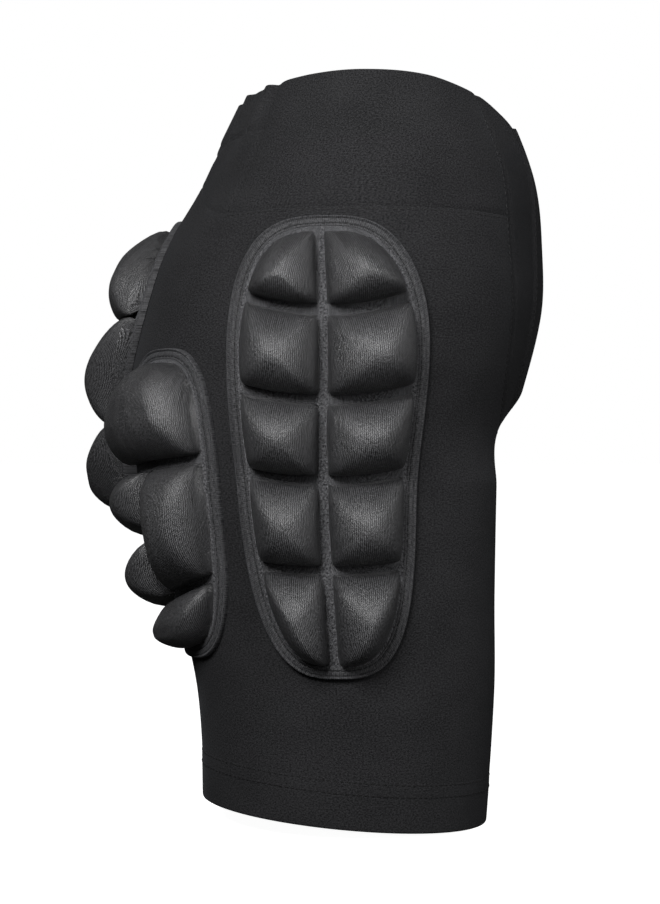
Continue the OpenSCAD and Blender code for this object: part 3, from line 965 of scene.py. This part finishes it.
HIP_PAD = Pad(
    wall, across=(0, 1), low=94, height=260,
    centre=Curve((0, 4.5), (0.4, 11), (0.8, 10.5), (1, 13)),
    half=Curve((0, 44), (0.4, 46), (0.6, 51.5), (0.8, 56), (1, 57)),
    cells=in_rows((0, 0.234, 0.446, 0.636, 0.844, 1), 0.05),
    fan=14, limits=(0.12, 0.88), sag=hip_sag, lean=1.0, lift=1.0, swell=1.0,
    tallness=Curve((0, 1), (1, 1)),
)
GLUTE_PAD = Pad(
    wall, across=(0.77, 0.64), low=101, height=177,
    centre=Curve((0, -29), (0.5, -26), (1, -28)),
    half=Curve((0, 41), (0.5, 41), (1, 39)),
    cells=[
        (-1, 1, 0.66, 1),
        (-1, 0.05, 0.26, 0.66),
        (0.05, 1, 0.47, 0.66),
        (0.05, 1, 0.26, 0.47),
        (-1, 1, 0, 0.26),
    ],
    fan=20, limits=(0.51, 0.985), sag=glute_sag, lean=1.6, lift=2.2, swell=0.65,
    tallness=Curve((0, 0.6), (0.13, 0.74), (0.36, 1.1), (0.6, 0.98), (1, 0.97)),
)
TAILBONE_PAD = Pad(
    rear, across=(1, 0), low=184, height=186,
    centre=Curve((0, 0), (1, 0)),
    half=Curve((0, 52), (0.3, 59), (0.7, 79), (1, 70)),
    cells=in_rows((0, 0.3, 0.67, 1), 0),
    fan=4, limits=(0.0, 1.0), sag=tail_sag, lean=1.0, lift=6.0, swell=0.4,
    tallness=Curve((0, 0.95), (0.5, 0.93), (0.83, 0.86), (1, 0.86)), skirt=11,
)
for side in SIDES:
    build_pad(f"{side}_hip_pad", HIP_PAD, side, 190, 84)
    build_pad(f"{side}_glute_pad", GLUTE_PAD, side, 150, 76)
build_pad("tailbone_pad", TAILBONE_PAD, None, 150, 90)

# ---------------------------------------------------------------- floor, backdrop, lights, camera

EYE = (-1190.0, 9.45, 221.0)
MIDDLE = (0, 0, 240)
LENS = 46.354
FLOOR_HALF = 30.0
FLOOR_GAP = 0.0005


def white_floor():
    """A lit white floor that throws no light on the shorts."""
    z = CAD_BOX[0][2] - FLOOR_GAP
    corners = [(x * FLOOR_HALF, y * FLOOR_HALF, z) for x, y in ((-1, -1), (1, -1), (1, 1), (-1, 1))]
    mesh = bpy.data.meshes.new("floor")
    mesh.from_pydata(corners, [], [(0, 1, 2, 3)])
    paper = bpy.data.materials.new("paper")
    paper.use_nodes = True
    shader = paper.node_tree.nodes["Principled BSDF"]
    shader.inputs["Base Color"].default_value = (0.9, 0.9, 0.9, 1)
    shader.inputs["Roughness"].default_value = 0.9
    shader.inputs["Emission Color"].default_value = (1, 1, 1, 1)
    shader.inputs["Emission Strength"].default_value = 0.96
    mesh.materials.append(paper)
    floor = bpy.data.objects.new("floor", mesh)
    bpy.context.scene.collection.objects.link(floor)
    floor.visible_diffuse = False
    floor.visible_glossy = False


def backdrop():
    """White to the camera, but a weak light on the object, and weaker from below."""
    world = bpy.data.worlds.new("studio")
    world.use_nodes = True
    nodes, links = world.node_tree.nodes, world.node_tree.links
    place = nodes.new("ShaderNodeTexCoord")
    split = nodes.new("ShaderNodeSeparateXYZ")
    links.new(place.outputs["Generated"], split.inputs["Vector"])
    fade = nodes.new("ShaderNodeMapRange")
    fade.inputs["From Min"].default_value = -0.4
    fade.inputs["From Max"].default_value = 0.9
    fade.inputs["To Min"].default_value = 0.02
    fade.inputs["To Max"].default_value = 0.13
    links.new(split.outputs["Z"], fade.inputs["Value"])
    rays = nodes.new("ShaderNodeLightPath")
    seen = nodes.new("ShaderNodeMath")
    seen.operation = "MAXIMUM"
    links.new(rays.outputs["Is Camera Ray"], seen.inputs[0])
    links.new(fade.outputs["Result"], seen.inputs[1])
    background = nodes["Background"]
    background.inputs["Color"].default_value = (1, 1, 1, 1)
    links.new(seen.outputs["Value"], background.inputs["Strength"])
    bpy.context.scene.world = world
    bpy.context.scene.view_settings.view_transform = "Standard"


def area_light(name, place, size, power):
    """A square lamp that points at the middle of the shorts."""
    data = bpy.data.lights.new(name, "AREA")
    data.shape = "RECTANGLE"
    data.size = data.size_y = size
    data.energy = power
    lamp = bpy.data.objects.new(name, data)
    lamp.location = to_row(place)
    way = Vector(to_row(MIDDLE) - to_row(place))
    lamp.rotation_euler = way.to_track_quat("-Z", "Y").to_euler()
    bpy.context.scene.collection.objects.link(lamp)


def photo_camera():
    """Level, from the wearer's right side."""
    camera = bpy.data.cameras.new("camera")
    camera.sensor_fit = "VERTICAL"
    camera.sensor_height = 24
    camera.lens = LENS
    camera.clip_end = 100
    view = bpy.data.objects.new("camera", camera)
    view.location = to_row(EYE)
    view.rotation_euler = (math.pi / 2, 0, -math.pi / 2)
    bpy.context.scene.collection.objects.link(view)
    bpy.context.scene.camera = view


white_floor()
backdrop()
area_light("key", (-1080, 330, 860), 0.5, 22)
area_light("fill", (-900, -900, 600), 1.0, 9)
photo_camera()
